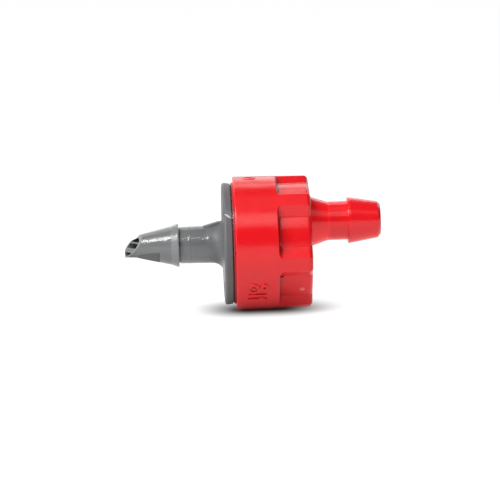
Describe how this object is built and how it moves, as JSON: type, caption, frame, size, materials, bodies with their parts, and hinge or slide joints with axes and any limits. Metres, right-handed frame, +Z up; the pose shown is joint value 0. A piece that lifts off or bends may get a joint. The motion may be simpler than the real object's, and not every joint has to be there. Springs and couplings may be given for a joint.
{
  "type": "drip emitter",
  "caption": "Small pressure-compensating drip emitter: piercing inlet barb and flange, round cap with grip pockets, and an offset barbed outlet for micro-tubing.",
  "frame": {"origin": "on the flow axis, in the front face of the flange, where the wall of the supply pipe seats", "axes": "+X along the flow axis from the piercing tip to the outlet barb, +Z up as the emitter lies on its side, towards the offset outlet"},
  "size_m": [0.0296, 0.0154, 0.0154],
  "materials": {
    "inlet_plastic": "moulded, satin to glossy grey",
    "cap_plastic": "moulded, glossy red",
    "seal_rubber": "matt black rubber",
    "disc_plastic": "moulded, natural off-white",
    "silicone": "translucent silicone, satin"
  },
  "bodies": {
    "housing": {"inlet_base": "inlet_plastic", "outlet_cap": "cap_plastic", "seal_ring": "seal_rubber", "flow_disc": "disc_plastic"},
    "diaphragm": {"diaphragm": "silicone"}
  },
  "joints": [
    {"name": "diaphragm_float", "type": "slide", "parent": "housing", "child": "diaphragm", "axis": [1, 0, 0], "range_m": [0, 0.00045]}
  ]
}
